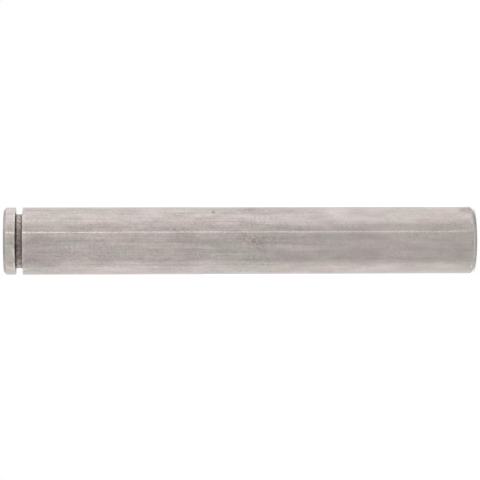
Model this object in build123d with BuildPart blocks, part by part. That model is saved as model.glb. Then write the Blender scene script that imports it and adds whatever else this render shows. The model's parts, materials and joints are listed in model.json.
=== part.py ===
# Headless round steel pin with one square groove for a retaining washer, in millimetres.
# It is turned from bright bar as one piece, and stands on its plain end: +Z runs up the pin's axis
# and the origin is the centre of the plain end's face.
import os

from build123d import *

# Bar
pin_diameter = 10.0
pin_length = 70.0

# Plain end, at the bottom
plain_chamfer_length = 0.55
plain_chamfer_depth = 0.7

# Grooved end, at the top, with a slim chamfer
lead_chamfer_length = 0.42
lead_chamfer_depth = 0.42

# Groove for an 8 mm retaining washer, with the land that holds the washer on
groove_land = 1.75
groove_width = 1.05
groove_floor_diameter = 8.0
groove_lip_break = 0.04
groove_corner_radius = 0.1

pin_radius = pin_diameter / 2
floor_radius = groove_floor_diameter / 2
groove_top = pin_length - groove_land
groove_bottom = groove_top - groove_width

# Half section of the bar, from the centre of the plain end round to the centre of the grooved end
bar_outline = [
    (0, 0),
    (pin_radius - plain_chamfer_depth, 0),
    (pin_radius, plain_chamfer_length),
    (pin_radius, pin_length - lead_chamfer_length),
    (pin_radius - lead_chamfer_depth, pin_length),
    (0, pin_length),
]

# Half section of the groove, open to the outside, with its lips turned back
groove_outline = [
    (floor_radius, groove_bottom),
    (pin_radius - groove_lip_break, groove_bottom),
    (pin_radius, groove_bottom - groove_lip_break),
    (pin_radius, groove_top + groove_lip_break),
    (pin_radius - groove_lip_break, groove_top),
    (floor_radius, groove_top),
]

with BuildPart() as pin:
    with BuildSketch(Plane.XZ):
        with BuildLine():
            Polyline(*bar_outline, close=True)
        make_face()
    revolve(axis=Axis.Z)

    with BuildSketch(Plane.XZ) as groove_section:
        with BuildLine():
            Polyline(*groove_outline, close=True)
        make_face()
        fillet(groove_section.vertices().group_by(Axis.X)[0], radius=groove_corner_radius)
    revolve(axis=Axis.Z, mode=Mode.SUBTRACT)

pin.part.label = "pin"

os.makedirs("parts", exist_ok=True)
export_step(pin.part, "parts/pin.step")
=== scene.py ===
import json
import math
import random

import bpy
import numpy as np
from mathutils import Matrix, Vector


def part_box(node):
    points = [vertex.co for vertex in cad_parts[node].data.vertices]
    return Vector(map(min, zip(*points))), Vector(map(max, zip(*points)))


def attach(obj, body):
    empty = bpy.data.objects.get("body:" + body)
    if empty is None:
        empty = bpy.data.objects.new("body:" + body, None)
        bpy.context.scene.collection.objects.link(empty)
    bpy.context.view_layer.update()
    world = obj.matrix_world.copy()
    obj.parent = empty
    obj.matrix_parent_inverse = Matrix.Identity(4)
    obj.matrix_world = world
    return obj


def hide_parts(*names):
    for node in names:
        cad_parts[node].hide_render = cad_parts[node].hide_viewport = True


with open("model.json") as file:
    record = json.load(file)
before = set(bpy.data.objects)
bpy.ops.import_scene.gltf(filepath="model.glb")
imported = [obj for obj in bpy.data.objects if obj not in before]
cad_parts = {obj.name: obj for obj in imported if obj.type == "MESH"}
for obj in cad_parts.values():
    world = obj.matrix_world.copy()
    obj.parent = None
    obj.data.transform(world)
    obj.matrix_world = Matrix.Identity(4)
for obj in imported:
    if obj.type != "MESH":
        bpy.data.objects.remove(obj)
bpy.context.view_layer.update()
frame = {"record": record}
mounts = {mount["name"]: mount for mount in frame["record"]["mounts"]}
millimetre = 0.001
print("frame loaded")


# camera at the photograph's viewing angle, rolled so that the grooved end is on the left
studioCamera = {
    "distance": 420.2 * millimetre,       # from the pin's axis
    "height": 51.77 * millimetre,         # above the plain end
    "aimHeight": 34.94 * millimetre,
    "aimSide": 0.09 * millimetre,
    "roll": 0.0025,                       # the plain end sits a little higher in the picture
    "focalPixels": 2822.5,
    "framePixels": 480,
    "sensor": 36.0,
}


def makeCamera(values):
    data = bpy.data.cameras.new("studioCamera")
    data.sensor_width = values["sensor"]
    data.lens = values["focalPixels"] / values["framePixels"] * values["sensor"]
    camera = bpy.data.objects.new("studioCamera", data)
    place = Vector((0, -values["distance"], values["height"]))
    aim = Vector((values["aimSide"], 0, values["aimHeight"]))
    back = (place - aim).normalized()
    right = Vector((1, 0, -values["roll"])).cross(back).normalized()
    above = back.cross(right)
    camera.matrix_world = Matrix.Translation(place) @ Matrix((right, above, back)).transposed().to_4x4()
    bpy.context.scene.collection.objects.link(camera)
    bpy.context.scene.camera = camera


makeCamera(studioCamera)
print("camera placed")


# small helpers for shader trees
def addNode(tree, kind, **settings):
    node = tree.nodes.new(kind)
    for name, value in settings.items():
        setattr(node, name, value)
    return node


def feed(tree, socket, value):
    if isinstance(value, bpy.types.NodeSocket):
        tree.links.new(value, socket)
    else:
        socket.default_value = value


def feedAll(tree, sockets, given):
    for name, value in given.items():
        feed(tree, sockets[name], value)


def maths(tree, operation, first, second=0.0, third=0.0, clamp=False):
    node = addNode(tree, "ShaderNodeMath", operation=operation, use_clamp=clamp)
    for socket, value in zip(node.inputs, (first, second, third)):
        feed(tree, socket, value)
    return node.outputs[0]


def inverse(tree, value):
    return maths(tree, "DIVIDE", 1.0, value)


def vectorMaths(tree, operation, first, second=(0, 0, 0)):
    node = addNode(tree, "ShaderNodeVectorMath", operation=operation)
    feed(tree, node.inputs[0], first)
    feed(tree, node.inputs[1], second)
    return node.outputs["Value" if operation == "LENGTH" else "Vector"]


def joinXyz(tree, x, y, z):
    node = addNode(tree, "ShaderNodeCombineXYZ")
    feedAll(tree, node.inputs, {"X": x, "Y": y, "Z": z})
    return node.outputs[0]


def splitXyz(tree, vector):
    node = addNode(tree, "ShaderNodeSeparateXYZ")
    feed(tree, node.inputs[0], vector)
    return node.outputs


def ramp(tree, value, low, high, toLow=0.0, toHigh=1.0):
    # a smooth step from toLow, where the value is low, to toHigh, where it is high
    node = addNode(tree, "ShaderNodeMapRange", interpolation_type="SMOOTHSTEP")
    limits = {"From Min": low, "From Max": high, "To Min": toLow, "To Max": toHigh}
    feedAll(tree, node.inputs, {"Value": value, **limits})
    return node.outputs["Result"]


def noise(tree, vector, scale=1.0, detail=2.0, roughness=0.5):
    node = addNode(tree, "ShaderNodeTexNoise")
    feedAll(tree, node.inputs, {"Vector": vector, "Scale": scale, "Detail": detail, "Roughness": roughness})
    return node.outputs["Fac"]


def tint(tree, amount, under, over, blend="MIX"):
    node = addNode(tree, "ShaderNodeMix", data_type="RGBA", blend_type=blend)
    sockets = {socket.name: socket for socket in node.inputs if socket.enabled}
    feedAll(tree, sockets, {"Factor": amount, "A": under, "B": over})
    return next(socket for socket in node.outputs if socket.enabled)


def darkenBy(tree, colour, level):
    # a level over 1 brightens
    return tint(tree, 1.0, colour, joinXyz(tree, level, level, level), "MULTIPLY")


socketKinds = {"Vector": "NodeSocketVector", "Place": "NodeSocketVector", "Color": "NodeSocketColor"}


def startGroup(name, inputs, outputs):
    # inputs without a value are the ones that every material feeds
    group = bpy.data.node_groups.new(name, "ShaderNodeTree")
    for socketName, value in inputs.items():
        kind = socketKinds.get(socketName, "NodeSocketFloat")
        socket = group.interface.new_socket(name=socketName, in_out="INPUT", socket_type=kind)
        if value is not None:
            socket.default_value = value
    for socketName in outputs:
        kind = socketKinds.get(socketName, "NodeSocketFloat")
        group.interface.new_socket(name=socketName, in_out="OUTPUT", socket_type=kind)
    return group, group.nodes.new("NodeGroupInput").outputs, group.nodes.new("NodeGroupOutput").inputs


def useGroup(tree, group, **given):
    node = addNode(tree, "ShaderNodeGroup", node_tree=group)
    feedAll(tree, node.inputs, given)
    return node.outputs


# straight lines that run along the bar
barLineNoise = {"detail": 3.0, "roughness": 0.6}


def makeBarLines(values):
    inputs = {"Vector": None, "Width": 0.0003, "Length": 0.02}
    group, given, result = startGroup("barLines", inputs, ["Lines"])
    across, along = inverse(group, given["Width"]), inverse(group, given["Length"])
    stretched = vectorMaths(group, "MULTIPLY", given["Vector"], joinXyz(group, across, across, along))
    feed(group, result["Lines"], noise(group, stretched, **values))
    return group


# fine rings that the tool left round the axis
def makeToolRings():
    inputs = {"Vector": None, "Pitch": 0.0001, "Length": 0.007}
    group, given, result = startGroup("toolRings", inputs, ["Rings"])
    split = splitXyz(group, given["Vector"])
    outward = vectorMaths(group, "LENGTH", joinXyz(group, split["X"], split["Y"], 0.0))
    place = maths(group, "DIVIDE", maths(group, "ADD", outward, split["Z"]), given["Pitch"])
    around = maths(group, "DIVIDE", split["X"], given["Length"])
    depth = maths(group, "DIVIDE", split["Y"], given["Length"])
    feed(group, result["Rings"], noise(group, joinXyz(group, place, around, depth)))
    return group


# soft patches of tarnish in two hues, and dark specks
tarnishShape = {
    "stretch": (1.0, 1.0, 0.35),          # makes the patches longer along the bar
    "greenShift": (0.031, 0.017, 0.043),  # keeps the green patches apart from the warm ones
    "patchDetail": 2.5,
    "speckDetail": 1.0,
    # where each starts in its noise, and where it is full
    "warm": (0.42, 0.68),
    "green": (0.46, 0.70),
    "specks": (0.70, 0.80),
}


def makeTarnish(values):
    inputs = {"Vector": None, "Patch": 0.004, "Speck": 0.0003}
    group, given, result = startGroup("tarnish", inputs, ["Warm", "Green", "Specks"])
    stretched = vectorMaths(group, "MULTIPLY", given["Vector"], values["stretch"])
    moved = vectorMaths(group, "ADD", stretched, values["greenShift"])
    patchScale = inverse(group, given["Patch"])
    warm = noise(group, stretched, patchScale, values["patchDetail"])
    green = noise(group, moved, patchScale, values["patchDetail"])
    specks = noise(group, given["Vector"], inverse(group, given["Speck"]), values["speckDetail"])
    feed(group, result["Warm"], ramp(group, warm, *values["warm"]))
    feed(group, result["Green"], ramp(group, green, *values["green"]))
    feed(group, result["Specks"], ramp(group, specks, *values["specks"]))
    return group


# small light and dark flecks that lie in clusters
fleckShape = {
    "stretch": (1.0, 1.0, 0.6),
    "fleckDetail": 1.0,
    "clusterDetail": 2.0,
    "clusters": (0.50, 0.62),
    "light": (0.56, 0.70),
    "dark": (0.44, 0.30),
}


def makeFlecks(values):
    inputs = {"Vector": None, "Size": 0.0002, "Cluster": 0.004}
    group, given, result = startGroup("flecks", inputs, ["Light", "Dark"])
    fine = noise(group, given["Vector"], inverse(group, given["Size"]), values["fleckDetail"])
    stretched = vectorMaths(group, "MULTIPLY", given["Vector"], values["stretch"])
    where = noise(group, stretched, inverse(group, given["Cluster"]), values["clusterDetail"])
    here = ramp(group, where, *values["clusters"])
    feed(group, result["Light"], maths(group, "MULTIPLY", ramp(group, fine, *values["light"]), here))
    feed(group, result["Dark"], maths(group, "MULTIPLY", ramp(group, fine, *values["dark"]), here))
    return group


# metal rubbed bright on its outer corners, partly painted highlight; dirt with painted shade in the groove's
# inner corners; and darker rings on the plain chamfer, one a painted shade line
cornerWearAndShadingShape = {
    "detail": 3.0,
    # where each starts in its noise, where it is full, and how much of it shows at both
    # the rubbing is partly painted highlight, the dirt partly painted shade
    "rub": (0.38, 0.60, 0.12, 1.0),
    "dirt": (0.62, 0.42, 0.75, 1.0),
}


def makeCornerWearAndShading(values):
    inputs = {"Vector": None, "Broken": 0.0012}
    group, given, result = startGroup("cornerWear", inputs, ["Rub", "Dirt"])
    patchy = noise(group, given["Vector"], inverse(group, given["Broken"]), values["detail"])
    corner = addNode(group, "ShaderNodeAttribute", attribute_name="corner").outputs["Fac"]
    grime = addNode(group, "ShaderNodeAttribute", attribute_name="grime").outputs["Fac"]
    # rubbed corners, partly painted highlight
    feed(group, result["Rub"], maths(group, "MULTIPLY", corner, ramp(group, patchy, *values["rub"])))
    # darkening where the grime attribute lies, partly painted shade
    feed(group, result["Dirt"], maths(group, "MULTIPLY", grime, ramp(group, patchy, *values["dirt"])))
    return group


# one soft spot, full over its core and falling to nothing at its rim
usualCore = 0.2                           # as a share of the way to the rim


def makeSoftSpot():
    inputs = {
        "Vector": None, "Place": None, "Wide": 0.002, "Long": 0.004, "Core": usualCore, "Strength": 1.0}
    group, given, result = startGroup("softSpot", inputs, ["Spot"])
    across, along = inverse(group, given["Wide"]), inverse(group, given["Long"])
    away = vectorMaths(group, "SUBTRACT", given["Vector"], given["Place"])
    away = vectorMaths(group, "MULTIPLY", away, joinXyz(group, across, across, along))
    far = vectorMaths(group, "LENGTH", away)
    feed(group, result["Spot"], ramp(group, far, 1.0, given["Core"], 0.0, given["Strength"]))
    return group


# a colour that darkens and brightens as a value runs from low to high
def makeToneSwing():
    inputs = {"Color": None, "Value": None, "Low": 0.3, "High": 0.7, "Swing": 0.1}
    group, given, result = startGroup("toneSwing", inputs, ["Color"])
    darkest = maths(group, "SUBTRACT", 1.0, given["Swing"])
    brightest = maths(group, "ADD", 1.0, given["Swing"])
    level = ramp(group, given["Value"], given["Low"], given["High"], darkest, brightest)
    feed(group, result["Color"], darkenBy(group, given["Color"], level))
    return group


barLines = makeBarLines(barLineNoise)
toolRings = makeToolRings()
tarnish = makeTarnish(tarnishShape)
flecks = makeFlecks(fleckShape)
cornerWear = makeCornerWearAndShading(cornerWearAndShadingShape)
softSpot = makeSoftSpot()
toneSwing = makeToneSwing()
print("node groups made")


# what the three finishes of the steel share
steelBase = {
    "anisotropicRotation": 0.25,          # a quarter turn
    "edgeTint": (0.85, 0.85, 0.85, 1.0),
}


def startMaterial(name, anisotropic):
    material = bpy.data.materials.new(name)
    material.use_nodes = True
    tree = material.node_tree
    shader = tree.nodes["Principled BSDF"]
    shader.inputs["Metallic"].default_value = 1.0
    shader.inputs["Anisotropic"].default_value = anisotropic
    shader.inputs["Anisotropic Rotation"].default_value = steelBase["anisotropicRotation"]
    shader.inputs["Specular Tint"].default_value = steelBase["edgeTint"]
    vector = addNode(tree, "ShaderNodeTexCoord").outputs["Object"]
    return material, tree, shader, vector


def addBump(tree, shader, height, distance):
    bump = addNode(tree, "ShaderNodeBump")
    feedAll(tree, bump.inputs, {"Strength": 1.0, "Distance": distance, "Height": height})
    feed(tree, shader.inputs["Normal"], bump.outputs["Normal"])


# the node groups with sizes in millimetres, as the finishes give them
def linesAlong(tree, vector, width, length):
    return useGroup(
        tree, barLines, Vector=vector, Width=width * millimetre, Length=length * millimetre)["Lines"]


def ringsRound(tree, vector, pitch, length):
    return useGroup(
        tree, toolRings, Vector=vector, Pitch=pitch * millimetre, Length=length * millimetre)["Rings"]


def tarnishOf(tree, vector, patch, speck):
    return useGroup(tree, tarnish, Vector=vector, Patch=patch * millimetre, Speck=speck * millimetre)


def flecksOf(tree, vector, size, cluster):
    return useGroup(tree, flecks, Vector=vector, Size=size * millimetre, Cluster=cluster * millimetre)


def wearAndShadingOf(tree, vector, broken):
    return useGroup(tree, cornerWear, Vector=vector, Broken=broken * millimetre)


def swingTone(tree, colour, value, low, high, swing):
    return useGroup(tree, toneSwing, Color=colour, Value=value, Low=low, High=high, Swing=swing)["Color"]


def inMetres(lengths):
    return [length * millimetre for length in lengths]


def spotAt(tree, vector, spot):
    return useGroup(
        tree, softSpot, Vector=vector, Place=inMetres(spot["place"]),
        Wide=spot["wide"] * millimetre, Long=spot["long"] * millimetre,
        Core=spot.get("core", usualCore), Strength=spot["strength"])["Spot"]


def strongestOf(tree, vector, spots, value=0.0):
    for spot in spots:
        value = maths(tree, "MAXIMUM", spotAt(tree, vector, spot), value)
    return value


def shareOf(tree, mask, amount):
    return maths(tree, "MULTIPLY", mask, amount)


# the ground shank and the land beyond the groove; lengths and places are in millimetres
groundFinish = {
    "metal": (0.598, 0.532, 0.516, 1.0),
    "warm": (0.618, 0.532, 0.496, 1.0),
    "green": (0.584, 0.546, 0.502, 1.0),
    "bright": (0.84, 0.79, 0.76, 1.0),
    "dark": (0.17, 0.155, 0.12, 1.0),
    "smudge": (0.30, 0.275, 0.215, 1.0),
    "anisotropic": 0.9,
    # the size of the patches and of the specks
    "tarnish": (2.8, 0.35),
    "warmAmount": 0.6,
    "greenAmount": 0.9,
    "speckAmount": 0.45,
    # the size of a fleck and of a cluster
    "flecks": (0.2, 3.5),
    "lightFlecks": 0.30,
    "darkFlecks": 0.22,
    # how long the rubbed and the darkened stretches of a corner are, painted highlight and painted shade
    # among them
    "wear": 0.8,
    "rubAmount": 0.8,
    "dirtAmount": 0.7,
    # width and length, and share of the streaks
    "lines": [(0.15, 6.0, 0.34), (0.34, 18.0, 0.34), (0.9, 80.0, 0.32)],
    # where in its noise each tone is darkest and brightest, and by how much
    "streakTone": (0.32, 0.68, 0.16),
    "mottleTone": (0.30, 0.70, 0.07),
    "cloudTone": (0.32, 0.68, 0.08),
    # height below which streaks and mottle are faint, where they are as strong as elsewhere, and how faint
    "calm": (18.0, 32.0, 0.45),
    "clouds": (1.5, 4.0),
    "mottlesPerMetre": 2500.0,
    "mottleDetail": 2.0,
    "mottleRoughness": 0.6,
    # width and length, then where in the noise the bright and the dark scratches lie, and their strength
    "scratches": (0.14, 18.0),
    "brightScratches": (0.66, 0.74, 0.0, 0.45),
    "darkScratches": (0.32, 0.25, 0.0, 0.25),
    # how deep the streaks and the mottle are
    "lineDepth": 0.0015,
    "mottleDepth": 0.002,
    "roughness": (0.3, 0.7, 0.15, 0.22),
    "dirtRoughness": 0.25,
    # one noise, moved to suit the smudges, breaks them up into film, glints and dirt
    "blotsPerMetre": 2900.0,
    "blotDetail": 3.0,
    "blotRoughness": 0.7,
    "blotShift": (0.3, 0.0, 0.8),
    "film": (0.40, 0.58, 0.03, 0.60),
    "glints": (0.44, 0.34, 0.0, 0.26),
    "dirt": (0.58, 0.68, 0.0, 0.45),
    # all the spots below are on the side that faces the camera
    "smudges": [
        {"place": (-0.2, -5.0, 32.6), "wide": 1.8, "long": 2.5, "core": 0.1, "strength": 0.9},
        {"place": (0.2, -5.0, 34.2), "wide": 1.3, "long": 2.0, "strength": 0.9},
        {"place": (0.1, -5.0, 29.8), "wide": 1.3, "long": 2.4, "core": 0.1, "strength": 0.5},
        {"place": (4.6, -2.0, 33.4), "wide": 1.4, "long": 2.4, "strength": 0.9},
        {"place": (2.1, -4.5, 32.8), "wide": 1.3, "long": 2.2, "core": 0.1, "strength": 0.3},
        {"place": (-2.7, -4.2, 33.3), "wide": 1.3, "long": 2.6, "core": 0.1, "strength": 0.4},
        {"place": (1.8, -4.7, 44.0), "wide": 1.0, "long": 2.6, "core": 0.1, "strength": 0.35},
    ],
    "darkSpots": [
        {"place": (4.2, -2.7, 39.0), "wide": 0.52, "long": 0.42, "strength": 0.8},
        {"place": (-0.5, -5.0, 0.72), "wide": 0.8, "long": 0.25, "strength": 0.35},
    ],
    "greenSpots": [
        {"place": (-0.6, -5.0, 69.1), "wide": 3.2, "long": 1.3, "core": 0.4, "strength": 1.0},
    ],
    # broad soft patches, lighter or darker than the rest
    "shades": [
        {"place": (-3.6, -3.5, 65.0), "wide": 3.2, "long": 5.4, "strength": -0.13},
        {"place": (-2.6, -4.3, 54.5), "wide": 4.6, "long": 8.5, "strength": 0.05},
        {"place": (0.3, -5.0, 65.5), "wide": 2.0, "long": 4.5, "strength": -0.05},
        {"place": (-2.1, -4.5, 68.7), "wide": 1.7, "long": 1.3, "strength": 0.12},
        # painted shade: this patch dims the reflected bright line on the land
        {"place": (1.2, -4.85, 69.0), "wide": 1.0, "long": 0.8, "strength": -0.08},
        {"place": (1.9, -4.6, 46.5), "wide": 1.3, "long": 3.8, "strength": -0.06},
        {"place": (-2.9, -4.1, 40.2), "wide": 2.8, "long": 3.8, "strength": 0.08},
        {"place": (-4.0, -3.0, 29.8), "wide": 1.5, "long": 4.5, "strength": -0.09},
        {"place": (-2.0, -4.6, 18.5), "wide": 2.3, "long": 9.0, "strength": -0.03},
        {"place": (3.2, -3.9, 3.4), "wide": 1.5, "long": 3.0, "strength": -0.06},
        {"place": (4.85, -1.2, 5.4), "wide": 1.3, "long": 3.2, "strength": 0.17},
        {"place": (4.5, -2.2, 46.5), "wide": 2.0, "long": 5.2, "strength": 0.11},
        {"place": (3.5, -3.6, 64.2), "wide": 1.6, "long": 4.0, "strength": 0.10},
        {"place": (4.4, -2.4, 31.4), "wide": 2.1, "long": 8.0, "strength": -0.13},
        {"place": (4.5, -2.2, 1.2), "wide": 1.4, "long": 1.7, "core": 0.4, "strength": -0.26},
        {"place": (3.4, -3.7, 0.4), "wide": 1.3, "long": 0.6, "core": 0.4, "strength": -0.12},
        {"place": (4.3, -2.5, 20.5), "wide": 2.1, "long": 3.0, "strength": 0.16},
        {"place": (-0.8, -4.9, 1.6), "wide": 3.0, "long": 4.0, "core": 0.3, "strength": -0.06},
    ],
    # where handling has brightened the land, its lip and the plain end, partly painted highlight
    "polished": [
        {"place": (4.2, -2.7, 69.2), "wide": 3.1, "long": 1.9, "core": 0.3, "strength": 0.45},
        {"place": (3.6, -3.5, 68.32), "wide": 1.3, "long": 0.32, "core": 0.3, "strength": 0.75},
        {"place": (2.0, -4.6, 68.32), "wide": 0.9, "long": 0.30, "core": 0.3, "strength": 0.45},
        {"place": (-1.7, -4.7, 68.32), "wide": 1.0, "long": 0.32, "core": 0.3, "strength": 0.85},
        {"place": (-3.6, -3.5, 68.32), "wide": 1.2, "long": 0.32, "core": 0.3, "strength": 0.7},
        {"place": (2.7, -4.2, 0.68), "wide": 0.7, "long": 0.3, "core": 0.3, "strength": 0.5},
        {"place": (-3.9, -3.1, 0.6), "wide": 0.8, "long": 0.35, "core": 0.3, "strength": 0.7},
    ],
}


def tarnishedMetal(tree, vector, values, stain):
    colour = tint(tree, shareOf(tree, stain["Warm"], values["warmAmount"]), values["metal"], values["warm"])
    patches = shareOf(tree, stain["Green"], values["greenAmount"])
    green = strongestOf(tree, vector, values["greenSpots"], patches)
    colour = tint(tree, green, colour, values["green"])
    # polished spots, partly painted highlight
    for spot in values["polished"]:
        colour = tint(tree, spotAt(tree, vector, spot), colour, values["bright"])
    return colour


def addTones(tree, vector, values, colour, streaks, mottle):
    # streaks, a fine mottle, soft clouds and broad patches
    height = splitXyz(tree, vector)["Z"]
    faintHeight, fullHeight, least = values["calm"]
    calm = ramp(tree, height, faintHeight * millimetre, fullHeight * millimetre, least, 1.0)
    for pattern, tone in ((streaks, "streakTone"), (mottle, "mottleTone")):
        low, high, swing = values[tone]
        colour = swingTone(tree, colour, pattern, low, high, shareOf(tree, calm, swing))
    clouds = linesAlong(tree, vector, *values["clouds"])
    colour = swingTone(tree, colour, clouds, *values["cloudTone"])
    level = 1.0
    for spot in values["shades"]:
        level = maths(tree, "ADD", spotAt(tree, vector, spot), level)
    return darkenBy(tree, colour, level)


def addMarks(tree, vector, values, colour):
    fleck = flecksOf(tree, vector, *values["flecks"])
    colour = tint(tree, shareOf(tree, fleck["Light"], values["lightFlecks"]), colour, values["bright"])
    colour = tint(tree, shareOf(tree, fleck["Dark"], values["darkFlecks"]), colour, values["dark"])
    scratches = linesAlong(tree, vector, *values["scratches"])
    colour = tint(tree, ramp(tree, scratches, *values["brightScratches"]), colour, values["bright"])
    return tint(tree, ramp(tree, scratches, *values["darkScratches"]), colour, values["dark"])


def addSmudges(tree, vector, values, colour, specks, settledDirtAndShade):
    # gives back how dirty each place is as well, the corners' painted shade included, because dirt is
    # rougher than the metal
    moved = vectorMaths(tree, "ADD", vector, inMetres(values["blotShift"]))
    blots = noise(tree, moved, values["blotsPerMetre"], values["blotDetail"], values["blotRoughness"])
    smudge = strongestOf(tree, vector, values["smudges"])
    film = maths(tree, "MULTIPLY", smudge, ramp(tree, blots, *values["film"]))
    glints = maths(tree, "MULTIPLY", smudge, ramp(tree, blots, *values["glints"]))
    colour = tint(tree, film, colour, values["smudge"])
    colour = tint(tree, glints, colour, values["bright"])
    dirt = maths(tree, "MULTIPLY", smudge, ramp(tree, blots, *values["dirt"]))
    dirt = maths(tree, "MULTIPLY_ADD", specks, values["speckAmount"], dirt)
    dirt = strongestOf(tree, vector, values["darkSpots"], dirt)
    # the corners' darkening, partly painted shade
    dirt = maths(tree, "MAXIMUM", settledDirtAndShade, dirt)
    dirt = maths(tree, "MULTIPLY", dirt, values["dirtAmount"], clamp=True)
    return tint(tree, dirt, colour, values["dark"]), dirt


def makeGroundSteel(values):
    material, tree, shader, vector = startMaterial("groundSteel", values["anisotropic"])
    stain = tarnishOf(tree, vector, *values["tarnish"])
    wear = wearAndShadingOf(tree, vector, values["wear"])
    streaks = 0.0
    for width, length, share in values["lines"]:
        streaks = maths(tree, "MULTIPLY_ADD", linesAlong(tree, vector, width, length), share, streaks)
    mottle = noise(
        tree, vector, values["mottlesPerMetre"], values["mottleDetail"], values["mottleRoughness"])

    colour = tarnishedMetal(tree, vector, values, stain)
    colour = addTones(tree, vector, values, colour, streaks, mottle)
    colour = addMarks(tree, vector, values, colour)
    colour, dirt = addSmudges(tree, vector, values, colour, stain["Specks"], wear["Dirt"])
    # rubbed corners, partly painted highlight
    colour = tint(tree, shareOf(tree, wear["Rub"], values["rubAmount"]), colour, values["bright"])
    feed(tree, shader.inputs["Base Color"], colour)

    roughness = ramp(tree, streaks, *values["roughness"])
    roughness = maths(tree, "MULTIPLY_ADD", dirt, values["dirtRoughness"], roughness)
    feed(tree, shader.inputs["Roughness"], roughness)
    height = maths(tree, "MULTIPLY_ADD", mottle, values["mottleDepth"] / values["lineDepth"], streaks)
    addBump(tree, shader, height, values["lineDepth"] * millimetre)
    return material


# the turned groove, with grime and painted shade in it; lengths and places are in millimetres
grooveFinish = {
    "metal": (0.55, 0.50, 0.465, 1.0),
    "dark": (0.24, 0.195, 0.175, 1.0),
    "grime": (0.18, 0.13, 0.12, 1.0),
    "hollow": (0.045, 0.033, 0.028, 1.0),
    "bright": (0.84, 0.79, 0.76, 1.0),
    "anisotropic": 0.5,
    # from ring to ring, and how far a ring goes round before it changes
    "rings": (0.16, 2.0),
    "ringTone": (0.60, 0.35, 0.0, 0.6),
    "ringDepth": 0.006,
    "tarnish": (1.6, 0.4),
    "grimeAmount": 0.4,
    "wear": 0.8,
    "rubAmount": 0.7,
    "blotsPerMetre": 2400.0,
    "blotDetail": 3.0,
    "blotRoughness": 0.7,
    "blotTone": (0.34, 0.64, 0.5),
    "roughness": (0.3, 0.7, 0.28, 0.42),
    # the grimiest places, partly painted shade, on the side that faces the camera
    "grimeSpots": [
        {"place": (-0.6, -4.0, 67.7), "wide": 3.6, "long": 3.0, "core": 0.3, "strength": 0.58},
        {"place": (1.6, -3.7, 68.2), "wide": 1.4, "long": 0.3, "core": 0.3, "strength": 0.9},
        {"place": (-1.4, -3.8, 67.2), "wide": 2.0, "long": 0.4, "core": 0.3, "strength": 0.8},
    ],
}


def makeTurnedSteel(values):
    material, tree, shader, vector = startMaterial("turnedSteel", values["anisotropic"])
    rings = ringsRound(tree, vector, *values["rings"])
    wear = wearAndShadingOf(tree, vector, values["wear"])
    stain = tarnishOf(tree, vector, *values["tarnish"])
    colour = tint(tree, ramp(tree, rings, *values["ringTone"]), values["metal"], values["dark"])
    blots = noise(tree, vector, values["blotsPerMetre"], values["blotDetail"], values["blotRoughness"])
    colour = swingTone(tree, colour, blots, *values["blotTone"])
    grime = shareOf(tree, stain["Green"], values["grimeAmount"])
    # grime spots, partly painted shade on the side that faces the camera
    grime = strongestOf(tree, vector, values["grimeSpots"], grime)
    colour = tint(tree, grime, colour, values["grime"])
    # dirt and painted shade in the groove's inner corners
    colour = tint(tree, wear["Dirt"], colour, values["hollow"])
    # rubbed lips, partly painted highlight
    colour = tint(tree, shareOf(tree, wear["Rub"], values["rubAmount"]), colour, values["bright"])
    feed(tree, shader.inputs["Base Color"], colour)
    feed(tree, shader.inputs["Roughness"], ramp(tree, rings, *values["roughness"]))
    addBump(tree, shader, rings, values["ringDepth"] * millimetre)
    return material


# the faced ends and both chamfers; lengths and places are in millimetres
facedFinish = {
    "metal": (0.565, 0.528, 0.500, 1.0),
    "dark": (0.20, 0.185, 0.165, 1.0),
    "bright": (0.84, 0.79, 0.76, 1.0),
    "anisotropic": 0.4,
    "rings": (0.22, 7.0),
    "ringTone": (0.60, 0.35, 0.0, 0.35),
    "ringDepth": 0.004,
    "tarnish": (2.0, 0.4),
    "speckAmount": 0.7,
    "flecks": (0.2, 1.5),
    "lightFlecks": 0.5,
    "wear": 0.6,
    "rubAmount": 0.5,
    "dirtAmount": 0.75,
    "roughness": (0.3, 0.7, 0.25, 0.36),
    # darker parts of both chamfers, on the side that faces the camera
    "dulled": [
        {"place": (-0.4, -5.0, 70.0), "wide": 3.6, "long": 2.0, "core": 0.3, "strength": 0.36},
        {"place": (3.6, -3.2, 0.2), "wide": 2.8, "long": 0.9, "core": 0.3, "strength": 0.50},
        {"place": (0.0, -4.7, 0.2), "wide": 2.6, "long": 0.9, "core": 0.3, "strength": 0.08},
    ],
}


def makeFacedSteel(values):
    material, tree, shader, vector = startMaterial("facedSteel", values["anisotropic"])
    rings = ringsRound(tree, vector, *values["rings"])
    stain = tarnishOf(tree, vector, *values["tarnish"])
    fleck = flecksOf(tree, vector, *values["flecks"])
    wear = wearAndShadingOf(tree, vector, values["wear"])
    colour = tint(tree, ramp(tree, rings, *values["ringTone"]), values["metal"], values["dark"])
    for spot in values["dulled"]:
        colour = tint(tree, spotAt(tree, vector, spot), colour, values["dark"])
    colour = tint(tree, shareOf(tree, stain["Specks"], values["speckAmount"]), colour, values["dark"])
    # darkens the plain chamfer's rings
    colour = tint(tree, shareOf(tree, wear["Dirt"], values["dirtAmount"]), colour, values["dark"])
    colour = tint(tree, shareOf(tree, fleck["Light"], values["lightFlecks"]), colour, values["bright"])
    # rubbed corners, partly painted highlight
    colour = tint(tree, shareOf(tree, wear["Rub"], values["rubAmount"]), colour, values["bright"])
    feed(tree, shader.inputs["Base Color"], colour)
    feed(tree, shader.inputs["Roughness"], ramp(tree, rings, *values["roughness"]))
    addBump(tree, shader, rings, values["ringDepth"] * millimetre)
    return material
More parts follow.
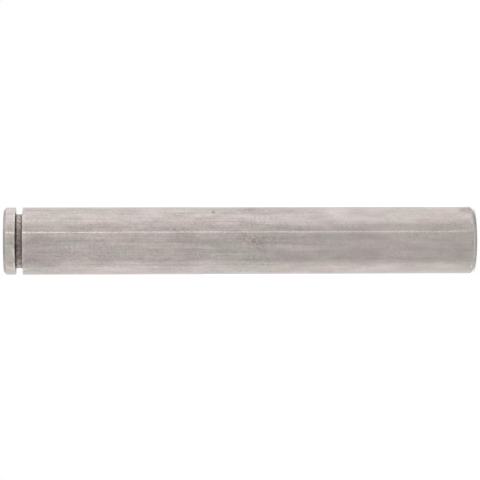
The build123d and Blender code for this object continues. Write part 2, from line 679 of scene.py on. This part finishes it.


# the pin, turned from its half section; the lengths of its grime, painted shade and nicks are in millimetres
grooveMount = mounts["ring_groove"]
grooveMiddle = grooveMount["pos_m"][2]
grooveHalfWidth = grooveMount["dims"]["length_mm"] * millimetre / 2
groundPin = {
    "radius": mounts["shank"]["dims"]["r_mm"] * millimetre,
    "length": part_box("pin")[1].z,
    "floorRadius": grooveMount["dims"]["r_mm"] * millimetre,
    "grooveBottom": grooveMiddle - grooveHalfWidth,
    "grooveTop": grooveMiddle + grooveHalfWidth,
    "plainChamferLength": 0.55 * millimetre,
    "plainChamferDepth": 0.7 * millimetre,
    "leadChamferLength": 0.42 * millimetre,
    "leadChamferDepth": 0.42 * millimetre,
    "cornerRounding": 0.08 * millimetre,
    "lipRounding": 0.045 * millimetre,
    "floorRounding": 0.1 * millimetre,
    "arcSteps": 5,
    "sides": 320,
    "shankSpacing": 0.6 * millimetre,
    "fineSpacing": 0.1 * millimetre,
    "holdDistance": 0.015 * millimetre,   # rings this close to a corner keep its shading crisp
    "rubReach": 0.12 * millimetre,
    # how much the lips and the chamfers' corners are rubbed bright, wear and painted highlight together
    "rubbed": {"plainChamfer": 0.12, "grooveBottom": 0.75, "grooveTop": 1.0, "leadChamfer": 0.5},
    # darker rings on the plain chamfer, the last a painted shade line where the chamfer meets the shank:
    # depth below the shank, height, how much, and reach
    "chamferGrime": [(0.62, 0.07, 0.9, 0.30), (0.20, 0.38, 0.45, 0.20), (0.0, 0.76, 0.6, 0.07)],
    # and grime with painted shade in the groove's two inner corners: how much, and reach
    "grooveBottomGrime": (1.0, 0.20),
    "grooveTopGrime": (1.0, 0.25),
}
# small dents along the outer corners
nicks = {
    "seed": 7,
    "counts": {"plainChamfer": 16, "grooveBottom": 4, "grooveTop": 4, "leadChamfer": 6},
    "spread": (-0.15, 0.1),
    "size": (0.12, 0.3),
    "depth": (0.03, 0.08),
    "aboveFloor": 0.3,                    # nothing nearer to the groove's floor is dented
}


def pinCorners(pin):
    # radius, height, rounding, how rubbed it is with painted highlight, and the stretch that follows
    radius, length, floorRadius = pin["radius"], pin["length"], pin["floorRadius"]
    edge, lip, floor = pin["cornerRounding"], pin["lipRounding"], pin["floorRounding"]
    rubbed = pin["rubbed"]
    return [
        (0.0, 0.0, 0.0, 0.0, "faced"),    # the middle of the plain end
        (radius - pin["plainChamferDepth"], 0.0, edge, 0.0, "faced"),
        (radius, pin["plainChamferLength"], edge, rubbed["plainChamfer"], "shank"),
        (radius, pin["grooveBottom"], lip, rubbed["grooveBottom"], "turned"),
        (floorRadius, pin["grooveBottom"], floor, 0.0, "turned"),
        (floorRadius, pin["grooveTop"], floor, 0.0, "turned"),
        (radius, pin["grooveTop"], lip, rubbed["grooveTop"], "land"),
        (radius, length - pin["leadChamferLength"], edge, rubbed["leadChamfer"], "faced"),
        (radius - pin["leadChamferDepth"], length, edge, rubbed["leadChamfer"], "faced"),
        (0.0, length, 0.0, 0.0, "faced"),  # the middle of the grooved end
    ]


def roundCorner(before, corner, after, rounding, steps):
    # points of the arc that rounds this corner of the half section
    toBefore, toAfter = (before - corner).normalized(), (after - corner).normalized()
    half = toBefore.angle(toAfter) / 2
    cut = rounding / math.tan(half)
    centre = corner + (toBefore + toAfter).normalized() * rounding / math.sin(half)
    start, end = corner + toBefore * cut - centre, corner + toAfter * cut - centre
    return [centre + rounding * start.slerp(end, step / steps) for step in range(steps + 1)]


def turnHalfSection(pin):
    # the rings of the lathe: where each lies, and the stretch that the band above it is in
    radii, heights, roundings, _, names = zip(*pinCorners(pin))
    points = [Vector(pair) for pair in zip(radii, heights)]
    rings, stretches = [], []
    lastPoint = points[0]
    for index in range(1, len(points)):
        last = index == len(points) - 1
        arc = [points[index]] if last else roundCorner(
            points[index - 1], points[index], points[index + 1], roundings[index], pin["arcSteps"])
        stretch = names[index - 1]
        spacing = pin["shankSpacing"] if stretch == "shank" else pin["fineSpacing"]
        run = arc[0] - lastPoint
        hold = run.normalized() * pin["holdDistance"]
        inner = run - 2 * hold
        pieces = max(1, math.ceil((run.length - 2 * hold.length) / spacing))
        band = [lastPoint]
        band += [lastPoint + hold + inner * piece / pieces for piece in range(pieces + 1)]
        band += arc[:-1]
        rings += band
        stretches += [stretch] * len(band)
        lastPoint = arc[-1]
    rings.append(lastPoint)
    return rings, stretches


def rubAndHighlightMarks(pin):
    return [(Vector((radius, height)), amount, pin["rubReach"])
            for radius, height, _, amount, _ in pinCorners(pin)]


def grimeAndShadeMarks(pin):
    marks = [(Vector((pin["radius"] - depth * millimetre, height * millimetre)), amount, reach * millimetre)
             for depth, height, amount, reach in pin["chamferGrime"]]
    for corner in ("grooveBottom", "grooveTop"):
        amount, reach = pin[corner + "Grime"]
        marks.append((Vector((pin["floorRadius"], pin[corner])), amount, reach * millimetre))
    return marks


def nearness(rings, marks):
    # each mark's own amount where it lies, falling away over its reach
    return [max(amount * math.exp(-((ring - place).length / reach)**2) for place, amount, reach in marks)
            for ring in rings]


def makeNicks(pin, values):
    # angle, height, size and depth of each
    chance = random.Random(values["seed"])
    heights = {
        "plainChamfer": pin["plainChamferLength"],
        "grooveBottom": pin["grooveBottom"],
        "grooveTop": pin["grooveTop"],
        "leadChamfer": pin["length"] - pin["leadChamferLength"],
    }
    made = []
    for corner, count in values["counts"].items():
        for _ in range(count):
            made.append((
                chance.uniform(0, math.tau),
                heights[corner] + chance.uniform(*values["spread"]) * millimetre,
                chance.uniform(*values["size"]) * millimetre,
                chance.uniform(*values["depth"]) * millimetre,
            ))
    return made


def dentedRadii(pin, values, radii, turns, heights):
    outer = pin["floorRadius"] + values["aboveFloor"] * millimetre
    for angle, height, size, depth in makeNicks(pin, values):
        aside = (np.mod(turns - angle + math.pi, math.tau) - math.pi) * pin["radius"]
        near = np.exp(-(aside**2 + (heights - height)**2) / size**2)
        radii = radii - depth * near * (radii > outer)
    return radii


def bandFaces(rings, sides):
    # the faces between each ring of points and the next
    faces = []
    for ring in range(rings - 1):
        low, high = ring * sides, (ring + 1) * sides
        for side in range(sides):
            right = (side + 1) % sides
            faces.append((low + side, low + right, high + right, high + side))
    return faces


def pinPoints(pin, body):
    # the points of all rings, then the centres of the two ends
    sides = pin["sides"]
    heights = np.repeat([ring.y for ring in body], sides)
    turns = np.tile(np.arange(sides) * math.tau / sides, len(body))
    radii = dentedRadii(pin, nicks, np.repeat([ring.x for ring in body], sides), turns, heights)
    points = np.stack([radii * np.cos(turns), radii * np.sin(turns), heights], axis=1)
    return np.vstack([points, [(0, 0, 0), (0, 0, pin["length"])]])


def pinFaces(pin, body, stretches):
    # the faces, and the material slot of each
    sides = pin["sides"]
    slotOf = {"shank": 0, "land": 0, "turned": 1, "faced": 2}
    faces = bandFaces(len(body), sides)
    slots = [slotOf[stretch] for stretch in stretches for _ in range(sides)]
    lastRing, bottom = (len(body) - 1) * sides, len(body) * sides
    top = bottom + 1
    for side in range(sides):
        right = (side + 1) % sides
        faces.append((bottom, right, side))
        faces.append((top, lastRing + side, lastRing + right))
        slots += [slotOf["faced"]] * 2
    return faces, slots


def addWearAndShading(mesh, pin, body):
    # the shaders read how rubbed each point is, partly painted highlight, and how darkened, partly painted
    # shade; the two centres are neither
    wear = {"corner": nearness(body, rubAndHighlightMarks(pin)), "grime": nearness(body, grimeAndShadeMarks(pin))}
    for name, amounts in wear.items():
        values = np.append(np.repeat(amounts, pin["sides"]), [0, 0])
        mesh.attributes.new(name, "FLOAT", "POINT").data.foreach_set("value", values.astype(np.float32))


def makePin(pin):
    rings, stretches = turnHalfSection(pin)
    # the first and last rings are only the centres of the two ends
    body = rings[1:-1]
    faces, slots = pinFaces(pin, body, stretches[1:-1])
    mesh = bpy.data.meshes.new("groundPin")
    mesh.from_pydata(pinPoints(pin, body).tolist(), [], faces)
    mesh.polygons.foreach_set("material_index", slots)
    mesh.polygons.foreach_set("use_smooth", [True] * len(faces))
    addWearAndShading(mesh, pin, body)
    mesh.update()
    mesh.materials.append(makeGroundSteel(groundFinish))
    mesh.materials.append(makeTurnedSteel(grooveFinish))
    mesh.materials.append(makeFacedSteel(facedFinish))
    piece = bpy.data.objects.new("groundPin", mesh)
    bpy.context.scene.collection.objects.link(piece)
    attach(piece, "root")
    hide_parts("pin")
    print("pin turned:", len(faces), "faces")
    return piece


makePin(groundPin)


# white floor and background, and a tent of pale cloth round the pin that shows in its reflections alone
studio = {
    "floorSize": 3.0,
    "floorColour": (0.62, 0.62, 0.62, 1.0),
    "floorRoughness": 0.9,
    # glow of the floor as the camera sees it, and as reflections do
    "floorLift": 0.60,
    "floorGlow": 0.80,
    "roomLight": 0.9,
    "tentRadius": 30 * millimetre,
    "tentHeight": 160 * millimetre,
    "tentFoot": 5.3 * millimetre,         # radius of the hole that the pin stands in
    "tentLift": 0.02 * millimetre,        # above the floor
    "tentSides": 180,
    "tentLean": 0.11,
    "frontLight": 0.7,
    "sideLight": 1.0,
    # turns from the camera's side, in degrees, between which the cloth's light goes from front to side
    "rightTurns": (30, 75),
    "leftTurns": (60, 105),
    # a gap between two cloths in degrees, and its light up to a low height and at the pin's top
    "gapTurn": 27.4,
    "gapHalfWidth": 1.2,
    "gapEdge": 0.35,
    "gapLowHeight": 15 * millimetre,
    "gapLight": (1.28, 1.76),
}


def seenDirectly(tree, camera, reflections, rest):
    # one value for the camera, one for reflections and through glass, and one for the light on the object
    path = addNode(tree, "ShaderNodeLightPath").outputs
    mirrored = maths(tree, "MAXIMUM", path["Is Glossy Ray"], path["Is Transmission Ray"])
    value = maths(tree, "MULTIPLY_ADD", path["Is Camera Ray"], camera - rest, rest)
    return maths(tree, "MULTIPLY_ADD", mirrored, reflections - rest, value)


def addStagePiece(name, points, faces, material):
    mesh = bpy.data.meshes.new(name)
    mesh.from_pydata(points, [], faces)
    mesh.materials.append(material)
    piece = bpy.data.objects.new(name, mesh)
    bpy.context.scene.collection.objects.link(piece)
    return piece


def makeFloor(values):
    material = bpy.data.materials.new("paleFloor")
    material.use_nodes = True
    tree = material.node_tree
    shader = tree.nodes["Principled BSDF"]
    shader.inputs["Base Color"].default_value = values["floorColour"]
    shader.inputs["Roughness"].default_value = values["floorRoughness"]
    shader.inputs["Specular IOR Level"].default_value = 0.0
    lift = addNode(tree, "ShaderNodeEmission")
    feed(tree, lift.inputs["Strength"], seenDirectly(tree, values["floorLift"], values["floorGlow"], 0.0))
    both = addNode(tree, "ShaderNodeAddShader")
    feed(tree, both.inputs[0], shader.outputs[0])
    feed(tree, both.inputs[1], lift.outputs[0])
    feed(tree, tree.nodes["Material Output"].inputs["Surface"], both.outputs[0])
    half = values["floorSize"] / 2
    points = [(-half, -half, 0), (half, -half, 0), (half, half, 0), (-half, half, 0)]
    addStagePiece("studioFloor", points, [(0, 1, 2, 3)], material)


def makeRoom(values):
    world = bpy.data.worlds.new("whiteRoom")
    bpy.context.scene.world = world
    world.use_nodes = True
    tree = world.node_tree
    background = tree.nodes["Background"]
    background.inputs["Color"].default_value = (1.0, 1.0, 1.0, 1.0)
    feed(tree, background.inputs["Strength"], seenDirectly(tree, 1.0, 1.0, values["roomLight"]))


def clothLight(tree, turn, values):
    # dim towards the camera, and bright from either side round to the back
    right = ramp(tree, turn, *map(math.radians, values["rightTurns"]))
    left = ramp(tree, maths(tree, "MULTIPLY", turn, -1.0), *map(math.radians, values["leftTurns"]))
    sides = maths(tree, "MAXIMUM", right, left)
    front = values["frontLight"]
    return maths(tree, "MULTIPLY_ADD", sides, values["sideLight"] - front, front)


def makeTentCloth(values, pinLength):
    material = bpy.data.materials.new("tentCloth")
    material.use_nodes = True
    material.cycles.emission_sampling = "NONE"
    tree = material.node_tree
    tree.nodes.remove(tree.nodes["Principled BSDF"])
    split = splitXyz(tree, addNode(tree, "ShaderNodeTexCoord").outputs["Object"])
    front = maths(tree, "MULTIPLY", split["Y"], -1.0)
    turn = maths(tree, "ARCTAN2", split["X"], front)
    # the gap between two cloths, where the room beyond shows
    beside = maths(tree, "ABSOLUTE", maths(tree, "SUBTRACT", turn, math.radians(values["gapTurn"])))
    gapInner = values["gapHalfWidth"] - values["gapEdge"]
    gap = ramp(tree, beside, math.radians(values["gapHalfWidth"]), math.radians(gapInner))
    gapLight = ramp(tree, split["Z"], values["gapLowHeight"], pinLength, *values["gapLight"])
    light = clothLight(tree, turn, values)
    colour = tint(tree, gap, joinXyz(tree, light, light, light), joinXyz(tree, gapLight, gapLight, gapLight))
    # in front the cloth is brighter towards the top, and behind it is brighter towards the floor
    middle = maths(tree, "ADD", split["Z"], -pinLength / 2)
    lean = maths(tree, "MULTIPLY", maths(tree, "DIVIDE", middle, pinLength), values["tentLean"])
    lean = maths(tree, "MULTIPLY", lean, maths(tree, "DIVIDE", front, values["tentRadius"]))
    cloth = addNode(tree, "ShaderNodeEmission")
    feedAll(tree, cloth.inputs, {"Color": colour, "Strength": maths(tree, "ADD", lean, 1.0)})
    feed(tree, tree.nodes["Material Output"].inputs["Surface"], cloth.outputs[0])
    return material


def makeTent(values):
    # a round wall, with cloth over the floor inside it
    sides = values["tentSides"]
    rim = [(values["tentFoot"], values["tentLift"]), (values["tentRadius"], values["tentLift"]),
           (values["tentRadius"], values["tentHeight"])]
    points = []
    for radius, height in rim:
        for side in range(sides):
            angle = math.tau * side / sides
            points.append((radius * math.cos(angle), radius * math.sin(angle), height))
    cloth = makeTentCloth(values, groundPin["length"])
    tent = addStagePiece("lightTent", points, bandFaces(len(rim), sides), cloth)
    tent.visible_camera = tent.visible_diffuse = tent.visible_transmission = False
    tent.visible_volume_scatter = tent.visible_shadow = False


makeFloor(studio)
makeRoom(studio)
makeTent(studio)
bpy.context.scene.view_settings.view_transform = "Standard"
print("studio ready")
